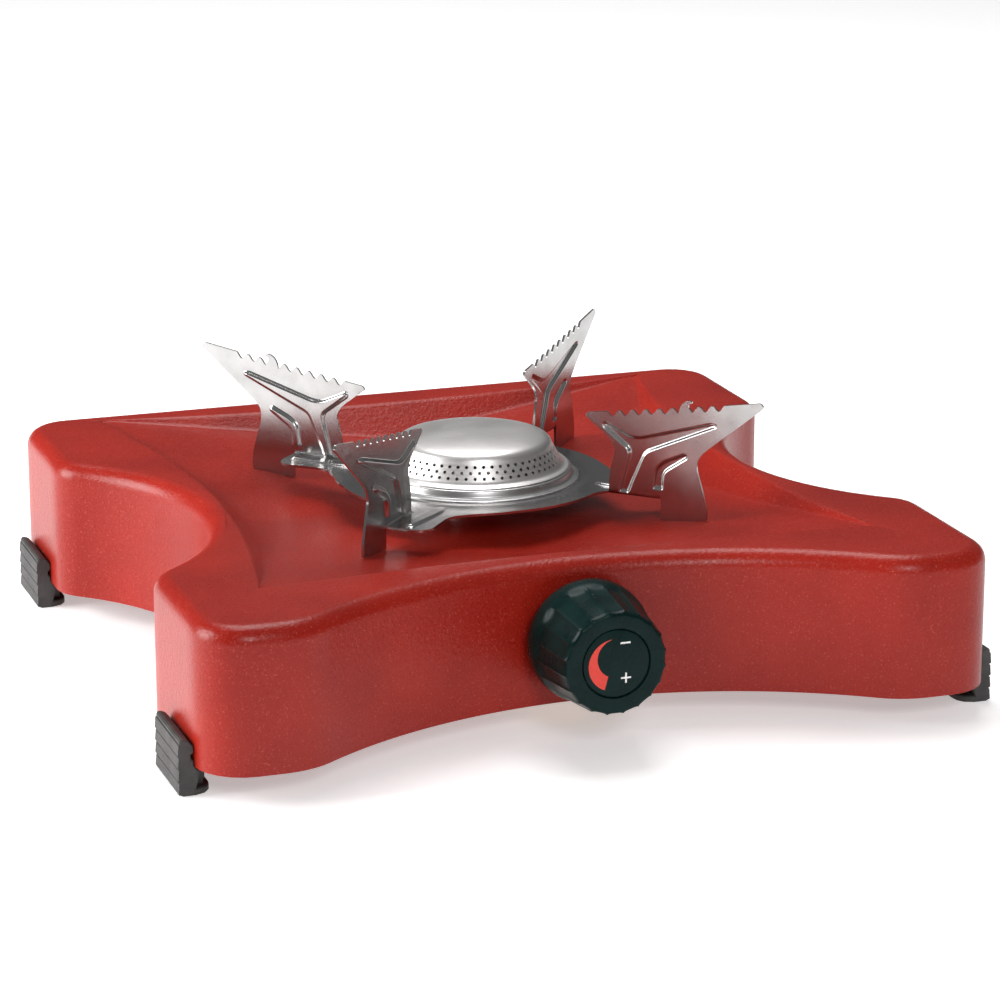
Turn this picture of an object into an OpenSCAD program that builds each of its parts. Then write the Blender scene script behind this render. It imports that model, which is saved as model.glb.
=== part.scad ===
// Single-burner table-top gas stove: a pressed-steel star-shaped housing on four clip-on rubber
// feet, a sheet-metal pan support with four wings, a pressed burner, and a rotary gas tap.
// Millimetres, +Z up, the knob on the -Y side, z = 0 at the soles of the feet.

/* [Housing] */
// Half width of the flat top, from the centre line to the crease of an end face
half_w = 120.5; // [118:0.5:124]
// Distance from the side-arc centre line to the front crease of the arms
arm_front = 121.5; // [119:0.5:124]
// Distance from the side-arc centre line to the straight rear crease
rear_edge = 118; // [116:0.5:121]
// Distance from the side-arc centre line to the middle of the front crease
front_mid = 88.5; // [87.5:0.5:90]
// Distance from the centre line to the waist of the side crease
waist = 88; // [87.5:0.5:90]
// Radius of the concave front
front_r = 155; // [150:1:165]
// Radius of the concave sides
side_r = 83; // [80:1:86]
// Radius of the rounded top edge, which is also how far the wall stands out from the crease
edge_r = 5.5; // [4.5:0.5:6]
// Thickness of the pressed sheet
sheet_t = 1.2; // [1:0.1:1.5]
// Height of the flat top above the table
top_z = 54; // [53:0.5:56]

/* [Dish] */
// Half width of the dish at its pointed corners
tip_x = 99.5; // [98:0.5:101]
// Distance forward to the front corners of the dish
tip_front = 90; // [89:0.5:91]
// Distance back to the rear corners of the dish
tip_rear = 114.5; // [113:0.5:115]
// Depth of the flat middle of the dish
dish_depth = 11; // [10:0.5:12]
// Fall of the floor for each millimetre away from a corner
ramp = 0.1; // [0.08:0.01:0.11]
// Run of the dish wall for each millimetre of its depth
wall_run = 1.1; // [0.8:0.1:1.3]

/* [Feet] */
// Height of the wall's bottom edge above the table
ride_z = 9; // [8:0.5:10]
// Length of a foot along the wall
foot_l = 28; // [24:1:32]
// Height of a foot
foot_h = 17.5; // [16:0.5:20]

/* [Burner and pan support] */
// Distance of the burner axis behind the side-arc centre line
burner_y = 5; // [3:0.5:7]
// Bearing of the first wing, measured from +X
wing_a = -43.6; // [-45:0.1:-42]
// Height of the pan support's plate above the flat top
plate_z = 0.5; // [0.5:0.1:1]
// Thickness of the pan support's sheet
wing_t = 0.8; // [0.8:0.1:1]
// Number of flame ports that are drilled in the cap's flank
ports = 36; // [24:4:60]

/* [Knob] */
// Height of the knob's axis above the table
knob_z = 31; // [30.5:0.5:31.5]
// Radius of the knob's skirt
skirt_r = 19.2; // [19:0.1:20]
// Number of finger flutes
flutes = 20; // [16:1:24]

/* [Hidden] */
$fn = 64;

// Clearances: gap is left between loose neighbours, fit is the radial play of a turning shaft.
gap = 0.2;
fit = 0.05;
over = 1;                                // how far a cut runs past the face it opens

// Outline of the flat top. Arm corners have corner_r, the lips of the side arcs have lip_r,
// and blend_r joins the front arc to the arm fronts.
corner_r = 10;
lip_r = 8;
blend_r = 20;
front_c = [0, -front_mid - front_r];
side_c = [waist + side_r, 0];
blend_y = blend_r - arm_front;
blend_c = [sqrt(pow(front_r + blend_r, 2) - pow(blend_y - front_c[1], 2)), blend_y];
blend_a = atan2(blend_c[1] - front_c[1], blend_c[0]);
lip_x = half_w - lip_r;
lip_y = sqrt(pow(side_r + lip_r, 2) - pow(side_c[0] - lip_x, 2));
lip_a = atan2(lip_y, side_c[0] - lip_x);
corner_x = half_w - corner_r;

// Each outline point is [x, y, normal bearing, side], with side "x" where the dish edge beside it
// runs along Y and "y" where it runs along X.
function arc(c, r, a0, a1, n, side, flip = 0) = [for (i = [0:n])
    let (a = a0 + (a1 - a0) * i / n) [c[0] + r * cos(a), c[1] + r * sin(a), a + flip, side]];
function mirrored(pts) = [for (i = [len(pts) - 1:-1:0])
    [-pts[i][0], pts[i][1], 180 - pts[i][2], pts[i][3]]];
front_half = concat(arc(front_c, front_r, 90 - 3.5, blend_a, 5, "y", 180),
    arc(blend_c, blend_r, blend_a - 180 + 16, -90, 2, "y"),
    arc([corner_x, corner_r - arm_front], corner_r, -90, -45, 2, "y"));
side_half = concat(arc([corner_x, corner_r - arm_front], corner_r, -22, 0, 1, "x"),
    [[half_w, -90, 0, "x"]],
    arc([lip_x, -lip_y], lip_r, 0, lip_a, 2, "x"),
    arc(side_c, side_r, 180 + lip_a * 0.8, 180 - lip_a * 0.8, 8, "x", 180),
    arc([lip_x, lip_y], lip_r, -lip_a, 0, 2, "x"),
    [[half_w, 90, 0, "x"]],
    arc([corner_x, rear_edge - corner_r], corner_r, 0, 22, 1, "x"));
rear_half = concat(arc([corner_x, rear_edge - corner_r], corner_r, 45, 90, 2, "y"),
    [for (x = [72, 42, 12]) [x, rear_edge, 90, "y"]]);
right_half = concat(front_half, side_half, rear_half);
outline = concat(right_half, mirrored(right_half));
n_out = len(outline);

neck_r = 9.5;                            // neck of the burner bowl, through the middle of the dish

// Dish: its edges are shallow arcs between four pointed corners.
dish_cy = (tip_rear - tip_front) / 2;
dish_hy = (tip_rear + tip_front) / 2;
side_bow = tip_x - waist + 1.5;
front_bow = 6;
rear_bow = 8.5;
corner_s = corner_r * (1 - sqrt(0.5));
function bow(t, depth) = depth * (1 - t * t);
function clamp1(t) = min(1, max(-1, t));
function tip_dist(x, y) = norm([tip_x - abs(x), dish_hy - abs(y - dish_cy)]);
function dish_fall(x, y) = min(dish_depth, max(0.5, ramp * tip_dist(x, y)));
function floor_z(x, y) = top_z - dish_fall(x, y);
function edge_pt(p) = p[3] == "x"
    ? let (t = clamp1((p[1] - (rear_edge - arm_front) / 2) / ((rear_edge + arm_front) / 2 - corner_s)))
        [sign(p[0]) * (tip_x - bow(t, side_bow)), dish_cy + t * dish_hy]
    : let (t = clamp1(p[0] / (half_w - corner_s)), s = sign(p[1]))
        [t * tip_x, s > 0 ? tip_rear - bow(t, rear_bow) : bow(t, front_bow) - tip_front];
function foot_pt(p) = let (e = edge_pt(p), run = wall_run * dish_fall(e[0], e[1]))
    p[3] == "x" ? [e[0] - sign(p[0]) * run, e[1]] : [e[0], e[1] - sign(p[1]) * run];

// Skin: a list of rings from the bottom edge, over the rounded edge and down into the dish.
bend = [0, 30, 60, 90];
floor_t = [0.55];
hole_r = neck_r + gap;
function wall_ring(r, z) = [for (p = outline) [p[0] + r * cos(p[2]), p[1] + r * sin(p[2]), z]];
function floor_ring(t, drop) = [for (p = outline)
    let (f = foot_pt(p), x = f[0] * t, y = dish_cy + (f[1] - dish_cy) * t) [x, y, floor_z(x, y) - drop]];
function hole_ring(drop) = [for (p = outline)
    let (f = foot_pt(p), a = atan2(f[1] - dish_cy, f[0]))
        [hole_r * cos(a), burner_y + hole_r * sin(a), top_z - dish_depth - drop]];
function skin(t) = concat([wall_ring(edge_r - t, ride_z)],
    [for (a = bend) wall_ring((edge_r - t) * cos(a), top_z - edge_r + (edge_r - t) * sin(a))],
    [[for (p = outline) let (e = edge_pt(p)) [e[0], e[1], top_z - t]]],
    [[for (p = outline) let (e = edge_pt(p), f = foot_pt(p)) [f[0], f[1], floor_z(e[0], e[1]) - t]]],
    [for (s = floor_t) floor_ring(s, t)], [hole_ring(t)]);
function join_rings(r, up) = [for (i = [0:n_out - 1]) let (j = (i + 1) % n_out,
    a = r * n_out + i, b = r * n_out + j, c = a + n_out, d = b + n_out)
    each up ? [[a, c, b], [b, c, d]] : [[a, b, c], [b, d, c]]];

// Pan support: the outline of a wing as [distance from the burner axis, height above the flat top].
plate_r = 44.5;
wing_in = 39.5;
wing_out = 100.5;
leg_in = 66;
leg_out = 81.8;
tab_w = 9;
tooth_n = 9;
tooth_from = 48.9;
tooth_pitch = 4.55;
fold_z = plate_z - wing_t;
edge_rise = (36 - 26) / (wing_out - wing_in);
function top_edge(r) = 26 + edge_rise * (r - wing_in);
function leg_foot(r, a) = floor_z(r * cos(a), burner_y + r * sin(a)) - top_z + 2 * gap;

// Burner, gas path and tap. The y values are distances behind the side-arc centre line.
neck_bore = 7.95;
gas_z = 22;                              // axis of the mixing tube
bend_r = 11;                             // bend of the elbow
elbow_r = 7.9;
elbow_bore = 6.4;
tube_r = 9;
tube_end_r = 7.5;
wall_y = -front_mid - edge_r;            // outer face of the front wall at the knob
boss_r = 9;
plug_r = 6;
spindle_r = 4;
disc_r = 10.5;                           // marked disc in the knob's face
body_back = -66;
pipe_r = 4;
pipe_x = 32;
pipe_bend = 12;
pipe_y = -78;
back_y = rear_edge + edge_r;             // outer face of the rear wall
inlet_r = 6.6;
inlet_end = back_y + 18.5;
foot_rear_y = 92.5;
foot_front_y = -98.5;
foot_out = half_w + edge_r + 5;

// The whole stove is shifted so that the origin is under the middle of its overall length.
shift_y = -(inlet_end - arm_front - edge_r) / 2;
module placed() { translate([0, shift_y, 0]) children(); }
// along_y turns a solid of revolution so that its axis runs along +Y, at height z and bearing x.
module along_y(x, z) { translate([x, 0, z]) rotate([-90, 0, 0]) children(); }
module tube_y(r_out, r_in, y0, y1) {
    translate([0, 0, y0]) difference() {
        cylinder(r = r_out, h = y1 - y0);
        translate([0, 0, -over]) cylinder(r = r_in, h = y1 - y0 + 2 * over);
    }
}
module nut_y(r_hex, r_in, y0, y1) {
    translate([0, 0, y0]) difference() {
        cylinder(r = r_hex, h = y1 - y0, $fn = 6);
        translate([0, 0, -over]) cylinder(r = r_in, h = y1 - y0 + 2 * over);
    }
}

module housing_shell() {
    outer = skin(0);
    inner = skin(sheet_t);
    rings = len(outer);
    pts = concat([for (r = outer) each r], [for (r = inner) each r]);
    half = rings * n_out;
    last = (rings - 1) * n_out;
    polyhedron(pts, concat(
        [for (r = [0:rings - 2]) each join_rings(r, true)],
        [for (r = [0:rings - 2]) each join_rings(r + rings, false)],
        [for (i = [0:n_out - 1]) let (j = (i + 1) % n_out) each
            [[i, j, half + i], [j, half + j, half + i], [last + i, half + last + i, last + j],
             [last + j, half + last + i, half + last + j]]]));
}

module housing() {
    color("firebrick") placed() difference() {
        housing_shell();
        along_y(0, knob_z) translate([0, 0, wall_y - 3]) cylinder(r = boss_r + gap, h = 8);
        along_y(pipe_x, knob_z) translate([0, 0, back_y - 4]) cylinder(r = 8 + gap, h = 8);
        for (q = [0:3]) translate([0, burner_y, 0]) rotate(wing_a + 90 * q)
            translate([(leg_in + leg_out - tab_w) / 2 - gap, -wing_t / 2 - gap, ride_z + 10])
                cube([tab_w + 2 * gap, wing_t + 2 * gap, top_z]);
    }
}

// Foot: a ribbed outer plate, a sole with an upturned inner lip, and a spring leg behind the wall.
module foot(x_sign, y_mid) {
    face = half_w + edge_r + gap;
    inner = half_w + edge_r - sheet_t - gap;
    profile = [[face, foot_h - 1.5], [foot_out - 1, foot_h], [foot_out, foot_h - 1], [foot_out, 1],
        [foot_out - 1, 0], [inner - 2.6, 0], [inner - 4.2, 1.2], [inner - 4.2, 3.2],
        [inner - 2.4, 4.4], [inner - 2.4, 15], [inner, 15], [inner, ride_z - gap],
        [face, ride_z - gap]];
    color("dimgray") placed() translate([0, y_mid, 0]) difference() {
        rotate([90, 0, 0]) linear_extrude(foot_l, center = true)
            polygon([for (p = profile) [x_sign * p[0], p[1]]]);
        for (z = [4.5, 8.5, 12.5]) translate([x_sign * (foot_out + 0.35), 0, z])
            rotate([90, 0, 0]) cylinder(r = 0.9, h = foot_l + 2 * over, center = true);
    }
}

module wing(a) {
    tab_at = (leg_in + leg_out - tab_w) / 2;
    tab_low = leg_foot(tab_at, a) - 7;
    rotate(a) rotate([90, 0, 0]) linear_extrude(wing_t, center = true) difference() {
        polygon([[wing_in, 25], [wing_in + 1, top_edge(wing_in + 1)], [wing_out - 1.5, top_edge(wing_out)],
            [wing_out, top_edge(wing_out) - 1], [81.5, 18], [78.6, 15], [78.2, 12.5], [80.3, 4],
            [leg_out, -2], [leg_out, leg_foot(leg_out, a)],
            [tab_at + tab_w, leg_foot(tab_at + tab_w, a)], [tab_at + tab_w, tab_low], [tab_at, tab_low],
            [tab_at, leg_foot(tab_at, a)], [leg_in, leg_foot(leg_in, a)], [leg_in, fold_z],
            [48, fold_z], [48, 7], [50.3, 15], [48, 18.5]]);
        for (i = [0:tooth_n - 1]) let (r = tooth_from + tooth_pitch * i)
            translate([r, top_edge(r) + 0.5]) circle(r = 1.45);
    }
}

module pan_support() {
    color("gainsboro") placed() translate([0, burner_y, top_z]) {
        translate([0, 0, fold_z]) linear_extrude(wing_t) difference() {
            union() {
                circle(r = plate_r);
                for (q = [0:3]) rotate(wing_a + 90 * q)
                    polygon([[30, -wing_t / 2], [leg_in, -wing_t / 2], [leg_in, 9.5], [62.5, 13.8],
                        [48, 13.5], [42.5, 18], [30, 32]]);
            }
            circle(r = 25);
        }
        for (q = [0:3]) wing(wing_a + 90 * q);
    }
}

module burner_cap() {
    color("silver") placed() translate([0, burner_y, top_z]) difference() {
        rotate_extrude() polygon([[0, 16.2], [12, 15.6], [22.5, 13.9], [24.9, 12.5], [28.6, 5.6],
            [30.8, 4.6], [30.8, 4], [28, 4.4], [24.1, 11.9], [22, 13.1], [12, 14.8], [0, 15.4]]);
        for (i = [0:ports - 1]) rotate(i * 360 / ports) translate([22, 0, 10])
            rotate([0, 90, 0]) cylinder(r = 0.6, h = 8, $fn = 16);
    }
}

module burner_bowl() {
    low = gas_z + bend_r + 3 - top_z;
    color("darkgray") placed() translate([0, burner_y, top_z]) rotate_extrude()
        polygon([[33.5, plate_z], [33.5, plate_z + 0.8], [31.8, plate_z + 1], [31.8, 3.8], [29.8, 3.8],
            [29.8, 1.4], [23.6, 0.6], [22.8, -4], [neck_bore, -6], [neck_bore, low], [neck_r, low],
            [neck_r, -7.2], [24, -5], [24.8, plate_z]]);
}

module burner_locknut() {
    nut_t = 4.6;
    color("goldenrod") placed() translate([0, burner_y, top_z - dish_depth - sheet_t - gap - nut_t])
        nut_y(13.5, neck_r + fit, 0, nut_t);
}

module mixing_elbow() {
    start = burner_y - bend_r;
    color("darkgray") placed() difference() {
        union() {
            translate([0, start, gas_z + bend_r]) rotate([0, 90, 0])
                rotate_extrude(angle = 90) translate([bend_r, 0]) circle(r = elbow_r);
            translate([0, burner_y, gas_z + bend_r]) cylinder(r = elbow_r, h = 9);
            along_y(0, gas_z) translate([0, 0, start - 9]) cylinder(r = elbow_r + 1.6, h = 9);
        }
        translate([0, start, gas_z + bend_r]) rotate([0, 90, 0])
            rotate_extrude(angle = 90) translate([bend_r, 0]) circle(r = elbow_bore);
        translate([0, burner_y, gas_z + bend_r - 0.01]) cylinder(r = elbow_bore, h = 9 + over);
        along_y(0, gas_z) translate([0, 0, start - 9 - over]) cylinder(r = tube_end_r + fit, h = 8 + over);
        along_y(0, gas_z) translate([0, 0, start - 2]) cylinder(r = elbow_bore, h = 2.01);
    }
}

module mixing_tube() {
    mouth = body_back + gap;
    end = burner_y - bend_r - 1.2;
    color("darkgray") placed() along_y(0, gas_z) difference() {
        rotate_extrude() polygon([[8, mouth], [tube_r, mouth], [tube_r, -48], [6, -42], [tube_end_r, end - 8],
            [tube_end_r, end], [6.4, end], [4.6, -42], [8, -50]]);
        for (a = [0, 90]) rotate(a) translate([0, 0, -58]) rotate([90, 0, 0])
            cylinder(r = 3.6, h = 3 * tube_r, center = true);
    }
}

module air_shutter() {
    color("gainsboro") placed() along_y(0, gas_z) difference() {
        tube_y(tube_r + 1, tube_r + fit, -64, -51.5);
        rotate(20) for (a = [0, 90]) rotate(a) translate([0, 0, -58]) rotate([90, 0, 0])
            cylinder(r = 3.6, h = 3 * tube_r, center = true);
    }
}

module gas_jet() {
    color("goldenrod") placed() along_y(0, gas_z) difference() {
        union() {
            translate([0, 0, body_back - 6]) cylinder(r = 3, h = 7);
            translate([0, 0, body_back + gap]) cylinder(r = 4.6, h = 4, $fn = 6);
            translate([0, 0, body_back + 4]) cylinder(r1 = 3, r2 = 1.6, h = 4);
        }
        translate([0, 0, body_back - 6 - over]) cylinder(r = 1.6, h = 11);
        translate([0, 0, body_back]) cylinder(r = 0.4, h = 10, $fn = 16);
    }
}

// Tap body: a block behind the front wall, a threaded boss through it, and three gas passages.
module valve_body() {
    shoulder = wall_y + sheet_t + 1.2;
    color("darkgoldenrod") placed() difference() {
        union() {
            translate([-10, shoulder, 13]) cube([20, body_back - shoulder, 27]);
            along_y(0, knob_z) translate([0, 0, wall_y - 3.6]) cylinder(r = boss_r, h = 8);
            translate([9, pipe_y, knob_z]) rotate([0, 90, 0]) cylinder(r = 6.5, h = 4);
        }
        along_y(0, knob_z) translate([0, 0, wall_y - 3.6 - over])
            cylinder(r = plug_r + fit, h = -72.5 - wall_y + 3.6 + over);
        along_y(0, gas_z) translate([0, 0, body_back - 7]) cylinder(r = 3 + fit, h = 7 + over);
        translate([0, pipe_y - 2, gas_z - 1]) cylinder(r = 1.6, h = knob_z - gas_z);
        along_y(0, gas_z) translate([0, 0, pipe_y - 3]) cylinder(r = 1.6, h = 10);
        translate([4, pipe_y, knob_z]) rotate([0, 90, 0]) cylinder(r = 1.6, h = 10);
        translate([8, pipe_y, knob_z]) rotate([0, 90, 0]) cylinder(r = pipe_r + fit, h = 8);
    }
}

module valve_washer() {
    color("silver") placed() along_y(0, knob_z)
        tube_y(13, boss_r + fit, wall_y + sheet_t + gap, wall_y + sheet_t + 1);
}

module valve_panel_nut() {
    color("silver") placed() along_y(0, knob_z) nut_y(12, boss_r + fit, wall_y - 3.4, wall_y - 0.6);
}

module spindle_gland() {
    color("goldenrod") placed() along_y(0, knob_z)
        tube_y(plug_r, spindle_r + fit, wall_y - 3.4, wall_y + 4.4);
}

module spindle_oring() {
    mid_r = (plug_r + spindle_r) / 2 + fit;
    color("black") placed() along_y(0, knob_z) translate([0, 0, wall_y + 5.6])
        rotate_extrude() translate([mid_r, 0]) circle(r = 0.9);
}

// Tap spindle: the taper plug is drawn straight, with its gas port cut across it and a flat at the end.
module valve_spindle() {
    plug_from = wall_y + 7;
    color("goldenrod") placed() along_y(0, knob_z) difference() {
        union() {
            translate([0, 0, wall_y - 24]) cylinder(r = spindle_r, h = 32);
            translate([0, 0, plug_from]) cylinder(r = plug_r, h = -73 - plug_from);
        }
        translate([0, 0, pipe_y]) rotate([0, 90, 0]) cylinder(r = 1.5, h = 2 * plug_r + over);
        translate([0, 0, pipe_y - 2]) cylinder(r = 1.5, h = 10);
        translate([-spindle_r, -spindle_r - 3, wall_y - 24 - over]) cube([2 * spindle_r, 4, 14 + over]);
    }
}

module knob() {
    back = wall_y - 6.5;
    front = -126.5;
    color([0.05, 0.07, 0.07]) placed() along_y(0, knob_z) difference() {
        rotate_extrude() polygon([[0, front], [15.6, front], [16.4, front + 0.8], [18.4, back - 8],
            [skirt_r - 0.2, back - 5.5], [skirt_r, back - 4], [skirt_r, back - 0.6], [skirt_r - 0.6, back],
            [0, back]]);
        for (i = [0:flutes - 1]) rotate(i * 360 / flutes) translate([20.1, 0, back - 8])
            rotate([0, -6.6, 0]) translate([0, 0, -20]) cylinder(r = 2.2, h = 20, $fn = 24);
        translate([0, 0, back - 4.5]) cylinder(r = 15, h = 4.5 + over);
        translate([0, 0, wall_y - 24.3]) cylinder(r = spindle_r + fit, h = 24);
        translate([0, 0, front - over]) cylinder(r = disc_r + gap, h = 1.2 + over);
    }
}

module knob_clip() {
    color("silver") placed() translate([-1.6, wall_y - 23, knob_z + 3.1]) cube([3.2, 12, 0.5]);
}

module knob_label() {
    color([0.05, 0.07, 0.07]) placed() along_y(0, knob_z) translate([0, 0, -126.2]) cylinder(r = disc_r, h = 0.8);
}

module inlet_pipe() {
    start = 9.2;
    straight = pipe_x - pipe_bend;
    color("peru") placed() {
        translate([start, pipe_y, knob_z]) rotate([90, 0, 90])
            tube_y(pipe_r, pipe_r - 1, 0, straight - start);
        translate([straight, pipe_y + pipe_bend, knob_z]) rotate(-90)
            rotate_extrude(angle = 90) translate([pipe_bend, 0]) difference() {
                circle(r = pipe_r);
                circle(r = pipe_r - 1);
            }
        along_y(pipe_x, knob_z) tube_y(pipe_r, pipe_r - 1, pipe_y + pipe_bend, 110);
    }
}

module pipe_nut_valve() {
    color("goldenrod") placed() translate([13.2, pipe_y, knob_z]) rotate([0, 90, 0])
        nut_y(8, pipe_r + fit, 0, 6);
}

module pipe_nut_inlet() {
    color("goldenrod") placed() along_y(pipe_x, knob_z) nut_y(8, pipe_r + fit, 99, 106.8);
}

module inlet_connector() {
    color("goldenrod") placed() along_y(pipe_x, knob_z) difference() {
        union() {
            translate([0, 0, 107]) cylinder(r = 6.5, h = 10);
            translate([0, 0, 114]) cylinder(r = 12, h = back_y - sheet_t - 1.2 - 114, $fn = 6);
            translate([0, 0, 114]) cylinder(r = 8, h = back_y - 114 + 4.5);
            translate([0, 0, 114]) cylinder(r = inlet_r, h = inlet_end - 114);
        }
        translate([0, 0, 106]) cylinder(r = pipe_r + fit, h = 4.5);
        translate([0, 0, 106]) cylinder(r = 2.5, h = inlet_end);
    }
}

module inlet_washer() {
    color("dimgray") placed() along_y(pipe_x, knob_z)
        tube_y(12, 8 + fit, back_y - sheet_t - 1, back_y - sheet_t - gap);
}

module inlet_locknut() {
    color("silver") placed() along_y(pipe_x, knob_z) nut_y(12, 8 + fit, back_y + gap, back_y + 3.6);
}

housing();
foot(-1, foot_front_y);  // foot_front_left
foot(1, foot_front_y);  // foot_front_right
foot(-1, foot_rear_y);  // foot_rear_left
foot(1, foot_rear_y);  // foot_rear_right
pan_support();
burner_cap();
burner_bowl();
burner_locknut();
mixing_elbow();
mixing_tube();
air_shutter();
gas_jet();
valve_body();
valve_washer();
valve_panel_nut();
spindle_gland();
spindle_oring();
valve_spindle();
knob();
knob_clip();
knob_label();
inlet_pipe();
pipe_nut_valve();
pipe_nut_inlet();
inlet_connector();
inlet_washer();
inlet_locknut();
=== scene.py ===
import math

import bmesh
import bpy
import numpy as np
from mathutils import Matrix, Vector
from mathutils.geometry import delaunay_2d_cdt


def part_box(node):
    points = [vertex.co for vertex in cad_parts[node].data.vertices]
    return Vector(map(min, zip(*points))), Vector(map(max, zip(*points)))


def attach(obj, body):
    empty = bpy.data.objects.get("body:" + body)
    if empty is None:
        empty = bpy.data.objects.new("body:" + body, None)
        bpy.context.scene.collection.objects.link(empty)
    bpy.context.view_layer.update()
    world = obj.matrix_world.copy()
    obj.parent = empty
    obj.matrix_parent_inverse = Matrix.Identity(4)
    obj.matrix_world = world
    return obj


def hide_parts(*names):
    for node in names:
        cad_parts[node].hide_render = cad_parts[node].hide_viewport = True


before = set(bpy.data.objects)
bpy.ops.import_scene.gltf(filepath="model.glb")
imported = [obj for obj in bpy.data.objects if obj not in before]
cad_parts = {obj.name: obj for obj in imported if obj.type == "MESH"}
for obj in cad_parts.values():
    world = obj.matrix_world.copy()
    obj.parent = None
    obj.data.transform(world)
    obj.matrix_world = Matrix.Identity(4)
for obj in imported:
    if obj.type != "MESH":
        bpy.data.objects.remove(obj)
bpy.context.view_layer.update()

mm = 0.001  # shapes are worked out in millimetres and made in metres


def middleOf(node):
    low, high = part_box(node)
    return (low + high) / 2


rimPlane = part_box("housing")[1].z
burnerAxis = Vector((middleOf("burner_cap").x, middleOf("burner_cap").y, rimPlane))
knobAxis = Vector((middleOf("knob").x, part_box("knob")[1].y, middleOf("knob").z))
tapHole = Vector((knobAxis.x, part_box("valve_panel_nut")[1].y, knobAxis.z))
inletHole = Vector((middleOf("inlet_connector").x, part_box("housing")[1].y, middleOf("inlet_connector").z))
burnerBehindArcs = 5  # millimetres from the centre line of the two side arcs back to the burner
sideArcLine = burnerAxis.y - burnerBehindArcs * mm
stoveOrigin = Vector((0, sideArcLine, 0))


# materials: one wrapped socket with arithmetic, and one way to make any other node

class Signal:
    def __init__(self, paint, socket):
        self.paint = paint
        self.socket = socket

    def join(self, operation, first, second):
        return self.paint.node("ShaderNodeMath", {"operation": operation}, {0: first, 1: second})

    def __add__(self, other):
        return self.join("ADD", self, other)

    __radd__ = __add__

    def __mul__(self, other):
        return self.join("MULTIPLY", self, other)

    __rmul__ = __mul__


class Paint:
    def __init__(self, name):
        self.material = bpy.data.materials.new(name)
        self.material.use_nodes = True
        self.tree = self.material.node_tree
        self.tree.nodes.clear()
        self.place = self.node("ShaderNodeTexCoord", output="Object")

    def node(self, kind, settings=None, inputs=None, output=0):
        made = self.tree.nodes.new(kind)
        for name, value in (settings or {}).items():
            if name == "stops":
                for stop, (position, shade) in zip(made.color_ramp.elements, value):
                    stop.position = position
                    stop.color = (shade, shade, shade, 1)
            else:
                setattr(made, name, value)
        for name, value in (inputs or {}).items():
            if isinstance(value, Signal):
                self.tree.links.new(value.socket, made.inputs[name])
            else:
                made.inputs[name].default_value = value
        return None if output is None else Signal(self, made.outputs[output])

    def moved(self, centre, stretch=(1, 1, 1)):  # object coordinates about a point, stretched
        shift = [-c * s for c, s in zip(centre, stretch)]
        return self.node("ShaderNodeMapping", None,
                         {"Vector": self.place, "Location": shift, "Scale": stretch})

    def noise(self, size, detail=2.0, rough=0.5, where=None):  # size is the grain's size in millimetres
        return self.node("ShaderNodeTexNoise", None,
                         {"Vector": where or self.place, "Scale": 1 / (size * mm), "Detail": detail,
                          "Roughness": rough})

    def ramp(self, value, low, high, dark=0.0, light=1.0):
        return self.node("ShaderNodeValToRGB", {"stops": [(low, dark), (high, light)]}, {0: value})

    def blend(self, amount, first, second):
        pair = {0: amount, 6: first, 7: second}
        for slot in (6, 7):
            if not isinstance(pair[slot], Signal):
                pair[slot] = (*pair[slot], 1)
        return self.node("ShaderNodeMix", {"data_type": "RGBA", "clamp_factor": True}, pair, 2)

    def bump(self, height, depth, strength=1.0, under=None):  # depth in millimetres
        links = {"Height": height, "Distance": depth * mm, "Strength": strength}
        if under:
            links["Normal"] = under
        return self.node("ShaderNodeBump", None, links)

    def finish(self, **values):
        sockets = {name.replace("_", " "): value for name, value in values.items()}
        for name, value in sockets.items():
            if isinstance(value, tuple) and len(value) == 3:
                sockets[name] = (*value, 1)
        surface = self.node("ShaderNodeBsdfPrincipled", None, sockets, "BSDF")
        self.node("ShaderNodeOutputMaterial", None, {"Surface": surface}, None)
        return self.material


def redPaint():
    # the third colour is a painted glint: a light red for small specks that stand in for highlights
    # glittering on the coat
    coat = {"colour": (0.34, 0.014, 0.006), "deep": (0.26, 0.008, 0.003), "painted_glint": (0.62, 0.13, 0.09)}
    paint = Paint("red_powder_coat")
    cloud = paint.noise(38, 3)
    grain = paint.noise(0.55, 2)
    colour = paint.blend(paint.ramp(cloud, 0.35, 0.7), coat["colour"], coat["deep"])
    # painted glint: light specks mixed into the base colour imitate the glitter of highlights, they are not a
    # colour of the coat
    colour = paint.blend(paint.ramp(grain, 0.60, 0.74) * 0.5, colour, coat["painted_glint"])
    colour = paint.blend(paint.ramp(paint.noise(0.8, 1), 0.62, 0.76) * 0.6, colour, coat["deep"])
    peel = paint.bump(paint.noise(1.6, 1.5) + 0.5 * paint.noise(0.8, 1), 0.12, 0.8)
    return paint.finish(Base_Color=colour, Roughness=paint.ramp(grain, 0.3, 0.7, 0.26, 0.42), Normal=peel,
                        Specular_IOR_Level=0.28)


def sheetSteel(name, colour, polish, centre=(0, 0, 0)):
    paint = Paint(name)
    brushed = paint.noise(0.35, 3, 0.6, paint.moved(centre, (1, 1, 9)))
    smudge = paint.noise(9, 3)
    tint = paint.blend(paint.ramp(smudge, 0.35, 0.7), colour, tuple(c * 0.82 for c in colour))
    rough = paint.ramp(smudge, 0.3, 0.75, polish, polish + 0.08) + 0.04 * brushed
    return paint.finish(Base_Color=tint, Metallic=1.0, Roughness=rough,
                        Normal=paint.bump(brushed, 0.02, 0.35))


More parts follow.
